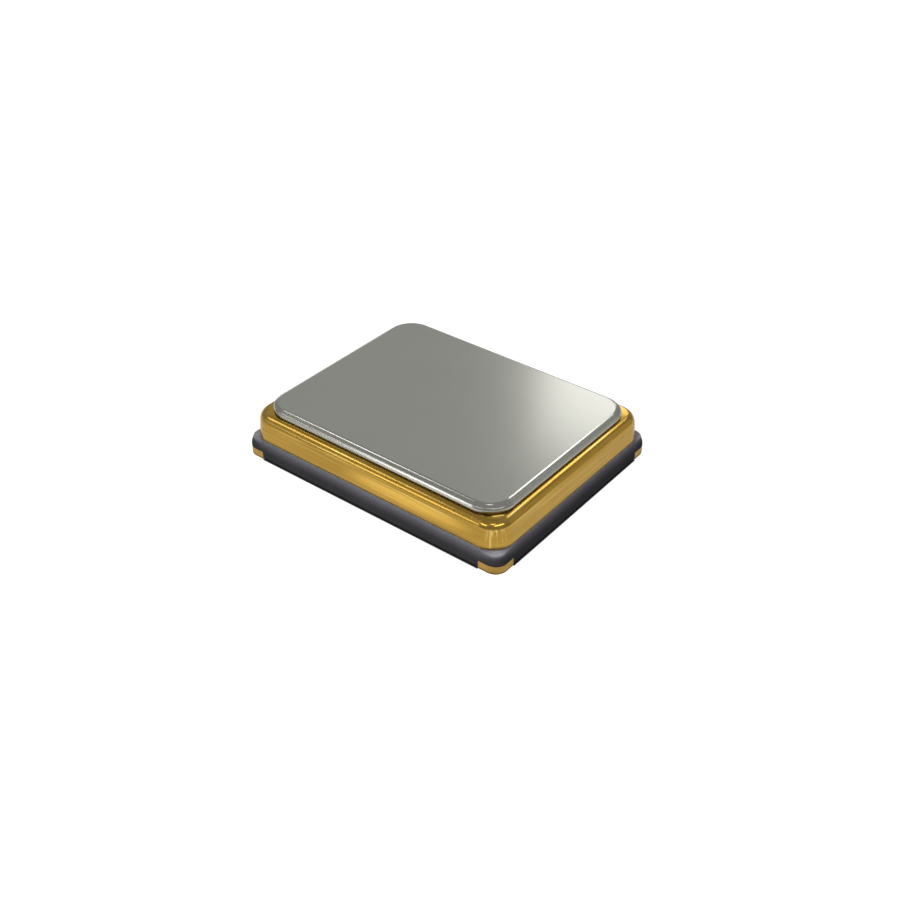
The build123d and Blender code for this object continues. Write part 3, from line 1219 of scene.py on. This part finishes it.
@dataclass
class Studio:
    """A white floor, a soft even surround and a few strip lamps."""

    surround_tone: float = 0.31
    floor_radius: float = 400 * MM
    floor_level: float = -0.001 * MM
    floor_steps: int = 96
    floor_tone: float = 0.50
    # The light that the floor adds for the camera and for mirrored rays. Between the distances
    # of far, the camera's rises to 1, so that low views show no horizon.
    floor_lift: Pair = (0.75, 0.16)
    far: Pair = (8 * MM, 40 * MM)
    # Shorter rays than this pass the floor, so that the underside, which lies on it, is lit.
    near: float = 0.03 * MM
    # A painted contact shadow: a dark band on the floor at the object's foot, where the camera's
    # lift is taken away too, which the terminals' corners don't have.
    contact: Pair = (0.002 * MM, 0.013 * MM)
    contact_shadow_tone: float = 0.02
    foot_radius: float = 0.10 * MM
    pad_corner: Pair = (1.066 * MM, 0.816 * MM)
    pad_soft: float = 0.008 * MM
    # A pool of light that is seen only mirrored: its centre and its reach, in millimetres.
    pool: tuple[Triple, Triple] = ((0.12, -1.325, 0.0), (0.62, 0.060, 1.0))
    pool_lift: float = 0.72
    pool_edge: Pair = (0.75, 1.10)
    boxes: tuple[SoftBox, ...] = (
        SoftBox("key_front", 5, 48, 30, 30, 9.0, mirrored=False),
        SoftBox("strip_right", 72, 47, 34, 9, 4.0),
        SoftBox("strip_front", 350, 42, 25, 8, 3.8),
        SoftBox("strip_left", 300, 46.5, 18, 5, 3.0),
        SoftBox("strip_back", 174.5, 47, 15, 6, 3.4),
        SoftBox("glow_back", 200.9, 24.4, 20, 23, 1.46),
        SoftBox("fill_back", 226, 38, 60, 30, 0.12),
        SoftBox("fill_right", 140, 19, 34, 30, 0.14),
        SoftBox("card_front", 327.7, 18, 6.5, 12, 2.8),
        SoftBox("glow_front", 322, 20, 40, 40, 0.11),
        SoftBox("spot_near", 38, 62, 16, 7, 3.0),
    )

    def build(self) -> None:
        """Makes the floor, the surround and the lamps."""
        self._floor()
        self._surround()
        for box in self.boxes:
            box.build()
        bpy.context.scene.view_settings.view_transform = "Standard"

    def _floor(self) -> None:
        """Makes the floor, which keeps the object's shadow and has a painted contact shadow at its
        foot.
        """
        turns = [360 * step / self.floor_steps for step in range(self.floor_steps)]
        centre, radius = (0.0, 0.0), self.floor_radius
        ring = [(*polar(centre, radius, turn), self.floor_level) for turn in turns]
        mesh = bpy.data.meshes.new("floor")
        mesh.from_pydata(ring, [], [tuple(range(self.floor_steps))])
        mesh.materials.append(self._paper())
        floor = put("floor", mesh)
        floor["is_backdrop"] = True

    def _paper(self) -> bpy.types.Material:
        """White paper that is clear from below, so that the underside can be seen and lit.

        Returns:
            The material.
        """
        material = bpy.data.materials.new("floor_paper")
        material.use_nodes = True
        nodes = material.node_tree.nodes
        graph, shader = Graph(material.node_tree), nodes["Principled BSDF"]
        contact, pool, far = self._ground(graph)
        camera, glossy, through, length = self._rays(
            graph, "Is Camera Ray", "Is Glossy Ray", "Is Transmission Ray", "Ray Length"
        )
        seen, mirrored = self.floor_lift
        other = (glossy + through).maths("MINIMUM", 1.0) * (mirrored + self.pool_lift * pool)
        # Near the foot the camera's lift is taken away and the colour darkened: a painted contact
        # shadow.
        lift = camera * (contact * (seen + (1.0 - seen) * far)) + (1.0 - camera) * other
        tones = (self.contact_shadow_tone,) * 3, (self.floor_tone,) * 3
        sockets = {
            "Base Color": graph.mix(contact, *tones),
            "Roughness": 1.0,
            "Specular IOR Level": 0.0,
            "Emission Color": graph.mix(lift, BLACK, WHITE),
            "Emission Strength": 1.0,
        }
        graph.fill(shader, sockets)
        below = graph.wire("ShaderNodeNewGeometry", output="Backfacing")
        clear = (below + (1.0 - camera) * (length < self.near)).maths("MINIMUM", 1.0)
        glass = graph.wire("ShaderNodeBsdfTransparent")
        paper = Wire(graph, shader.outputs[0])
        mixed = graph.wire("ShaderNodeMixShader", {0: clear, 1: paper, 2: glass})
        graph.fill(nodes["Material Output"], {"Surface": mixed})
        return material

    def _rays(self, graph: Graph, *names: str) -> list[Wire]:
        """Outputs of a Light Path node, by name."""
        path = graph.add("ShaderNodeLightPath")
        return [Wire(graph, path.outputs[name]) for name in names]

    def _ground(self, graph: Graph) -> tuple[Wire, Wire, Wire]:
        """Where the floor is clear of the painted contact shadow at the object's foot, has a pool
        of light, and is far out.

        Args:
            graph: The floor's graph.

        Returns:
            1 clear of the object's foot and 0 in the painted contact shadow under and beside it, 1
            in the pool, and 1 far out.
        """
        low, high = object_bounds()
        size = (high - low) / 2
        place = graph.place()
        half = (size.x - self.foot_radius, size.y - self.foot_radius, 1.0)
        nothing = (0.0, 0.0, 0.0)
        past = place.vector("ABSOLUTE").vector("SUBTRACT", half).vector("MAXIMUM", nothing)
        clear = graph.remap(past.length() - self.foot_radius, self.contact)
        clear = clear.maths("MAXIMUM", graph.at_corner(self.pad_corner, self.pad_soft))
        centre, reach = (tuple(v * MM for v in row) for row in self.pool)
        spot = place.vector("SUBTRACT", centre).vector("DIVIDE", reach).length()
        far = graph.remap(place.length(), self.far)
        return clear, graph.remap(spot, self.pool_edge, (1.0, 0.0)), far

    def _surround(self) -> None:
        """Makes the surround, white where the camera sees it."""
        world = bpy.data.worlds.new("surround")
        bpy.context.scene.world = world
        world.use_nodes = True
        graph = Graph(world.node_tree)
        (camera,) = self._rays(graph, "Is Camera Ray")
        tone = graph.mix(camera, (self.surround_tone,) * 3, WHITE)
        graph.fill(world.node_tree.nodes["Background"], {"Color": tone})


@dataclass
class ViewCamera:
    """The camera, which looks past the object's origin by a small way across and up."""

    azimuth: float = 38.28
    elevation: float = 35.25
    distance: float = 10.04 * MM
    across: float = 0.0236 * MM
    up: float = 0.0029 * MM
    lens: float = 50.0
    sensor: float = 36.0
    clip: Pair = (0.5 * MM, 2.0)

    def build(self) -> None:
        """Makes the camera and gives it to the scene."""
        data = bpy.data.cameras.new("camera")
        data.lens, data.sensor_width = self.lens, self.sensor
        data.clip_start, data.clip_end = self.clip
        camera = put("camera", data)
        back = direction(self.azimuth, self.elevation)
        turn = back.to_track_quat("Z", "Y")
        camera.location = back * self.distance + turn @ Vector((self.across, self.up, 0.0))
        camera.rotation_mode = "QUATERNION"
        camera.rotation_quaternion = turn
        bpy.context.scene.camera = camera


@dataclass
class Resonator:
    """The whole part, built from its sub-assemblies."""

    corners: tuple[tuple[int, int], ...] = ((-1, -1), (1, -1), (1, 1), (-1, 1))
    index_cut: float = 0.180 * MM
    rim_inner: Pair = (0.245 * MM, 0.066 * MM)
    braze_setback: float = 0.004 * MM

    def build(self) -> None:
        """Builds the pieces from the board up."""
        _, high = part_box("ceramic_base")
        half = (high.x, high.y)
        for number, (side_x, side_y) in enumerate(self.corners, start=1):
            cut = self.index_cut if number == 1 else 0.0
            CornerTerminal(half, number, side_x, side_y, cut).build()
        tree = SweepTree(half)
        CeramicTray(tree).build()
        ring = SealRing(tree)
        rim = ("rim_metal", "rim_metallisation", "gold_plate", RIM_METAL)
        SweptFrame(tree, *rim, ring.outer, self.rim_inner).build()
        inset, radius = ring.outer
        outer = (inset + self.braze_setback, radius - self.braze_setback)
        braze = ("braze", "ring_braze", "braze_metal", BRAZE)
        SweptFrame(tree, *braze, outer, ring.inner).build()
        ring.build()
        SeamLid(tree).build()
        Interior().dress()


def main() -> None:
    """Builds the part, the studio and the camera, and notes the size before and after."""
    logging.basicConfig(level=logging.INFO, format="%(name)s: %(message)s")
    solid = [list(corner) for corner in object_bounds()]
    Resonator().build()
    Studio().build()
    ViewCamera().build()
    visual = [list(corner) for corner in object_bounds()]
    for low, high in (solid, visual):
        LOG.info("size in mm: %s", [round((b - a) / MM, 4) for a, b in zip(low, high)])


if __name__ == "__main__":
    main()
